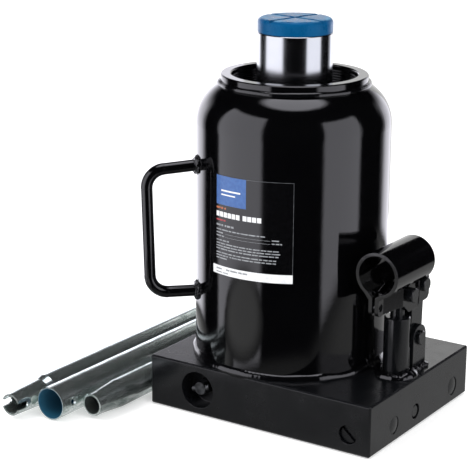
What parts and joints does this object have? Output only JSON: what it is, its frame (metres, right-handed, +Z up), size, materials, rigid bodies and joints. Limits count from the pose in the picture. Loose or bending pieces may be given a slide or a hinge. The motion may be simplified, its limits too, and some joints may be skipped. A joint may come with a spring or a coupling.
{
  "type": "hydraulic bottle jack",
  "caption": "Welded hydraulic bottle jack: square base, round oil reservoir, telescoping ram with a grooved saddle, hand pump with lever socket, and a sectional pump handle laid beside it.",
  "frame": {"origin": "ram axis on the underside of the base block", "axes": "+Z up along the ram, +X along the long side of the base towards the pump, -Y towards the face with the release valve"},
  "size_m": [0.2732, 0.4159, 0.3],
  "materials": {
    "black_paint": "gloss black enamel over steel",
    "painted_weld": "gloss black enamel over a lumpy weld bead",
    "ground_steel": "ground and polished",
    "bright_steel": "turned or drawn, oiled",
    "zinc_plate": "bright blue-white zinc plate with dark mottling",
    "blue_paint": "gloss blue enamel",
    "bronze": "turned",
    "seal_rubber": "moulded",
    "label_film": "printed gloss film"
  },
  "bodies": {
    "housing": {"base_block": "black_paint", "reservoir_tank": "black_paint", "tank_weld": "painted_weld", "head_collar": "black_paint", "collar_weld": "painted_weld", "pressure_cylinder": "ground_steel", "cylinder_gasket": "bronze", "gland_nut": "ground_steel", "gland_seal": "seal_rubber", "ram_guide_bush": "bronze", "ram_wiper": "seal_rubber", "pump_cylinder": "black_paint", "pump_weld": "painted_weld", "pump_washer": "bronze", "plunger_wiper": "seal_rubber", "link_lugs": "black_paint", "lug_weld": "painted_weld", "lug_pin": "black_paint", "lug_pin_clip": "bright_steel", "carry_handle": "black_paint", "handle_welds": "painted_weld", "tank_label": "label_film", "front_plug": "black_paint", "suction_plug": "black_paint", "delivery_plug": "black_paint", "relief_plug": "black_paint", "suction_seat": "bronze", "suction_strainer": "bright_steel", "suction_spring": "bright_steel", "ball_cage": "bronze", "overload_spring": "bright_steel", "overload_screw": "bright_steel"},
    "ram": {"ram": "ground_steel", "ram_piston": "ground_steel", "piston_seal": "seal_rubber", "piston_wear_ring": "bronze", "saddle": "blue_paint"},
    "release_valve": {"release_valve": "bright_steel", "release_cross_pin": "bright_steel", "release_seal": "seal_rubber"},
    "link": {"link_bar": "black_paint"},
    "pump_lever": {"lever_socket": "black_paint", "clamp_screw": "bright_steel", "plunger_pin": "black_paint", "plunger_pin_clip": "bright_steel", "fulcrum_pin": "black_paint", "fulcrum_pin_clip": "bright_steel"},
    "plunger": {"plunger": "ground_steel", "plunger_seal": "seal_rubber"},
    "suction_ball": {"suction_ball": "bright_steel"},
    "delivery_ball": {"delivery_ball": "bright_steel"},
    "overload_ball": {"overload_ball": "bright_steel"},
    "oil_filler_plug": {"oil_filler_plug": "seal_rubber"},
    "handle_key_tube": {"handle_key_tube": "zinc_plate"},
    "handle_middle_tube": {"handle_middle_tube": "zinc_plate"},
    "handle_end_tube": {"handle_end_tube": "zinc_plate"}
  },
  "joints": [
    {"name": "ram_slide", "type": "slide", "parent": "housing", "child": "ram", "axis": [0, 0, 1], "range_m": [0, 0.18]},
    {"name": "link_swing", "type": "hinge", "parent": "housing", "child": "link", "pos_m": [0.0964, 0.0143, 0.0646], "axis": [1, 0, 0], "range_deg": [-1, 3.5]},
    {"name": "lever_swing", "type": "hinge", "parent": "link", "child": "pump_lever", "pos_m": [0.0964, 0.0158, 0.1069], "axis": [-1, 0, 0], "range_deg": [-11, 45]},
    {"name": "plunger_slide", "type": "slide", "parent": "housing", "child": "plunger", "axis": [0, 0, 1], "range_m": [-0.004, 0.0152]},
    {"name": "release_valve_turn", "type": "hinge", "parent": "housing", "child": "release_valve", "pos_m": [-0.036, -0.07, 0.0198], "axis": [0, -1, 0], "range_deg": [0, 540]},
    {"name": "suction_ball_lift", "type": "slide", "parent": "housing", "child": "suction_ball", "axis": [0, 1, 0], "range_m": [0, 0.001], "stiffness_N_per_m": 40, "springref_m": -0.003, "deforming": ["suction_spring"]},
    {"name": "delivery_ball_lift", "type": "slide", "parent": "housing", "child": "delivery_ball", "axis": [0, 0, 1], "range_m": [0, 0.0008]},
    {"name": "overload_ball_lift", "type": "slide", "parent": "housing", "child": "overload_ball", "axis": [0, 0, 1], "range_m": [0, 0.001], "stiffness_N_per_m": 60, "springref_m": -0.003, "deforming": ["overload_spring"]},
    {"name": "filler_plug_pull", "type": "slide", "parent": "housing", "child": "oil_filler_plug", "axis": [0, 1, 0], "range_m": [0, 0.02]},
    {"name": "key_tube_lift", "type": "slide", "parent": "housing", "child": "handle_key_tube", "axis": [0, 0, 1], "range_m": [0, 0.1]},
    {"name": "middle_tube_lift", "type": "slide", "parent": "housing", "child": "handle_middle_tube", "axis": [0, 0, 1], "range_m": [0, 0.1]},
    {"name": "end_tube_lift", "type": "slide", "parent": "housing", "child": "handle_end_tube", "axis": [0, 0, 1], "range_m": [0, 0.06]}
  ],
  "couplings": [
    {"joint": "link_swing", "follows": "lever_swing", "ratio": 0.074},
    {"joint": "plunger_slide", "follows": "lever_swing", "m_per_rad": 0.01904}
  ]
}
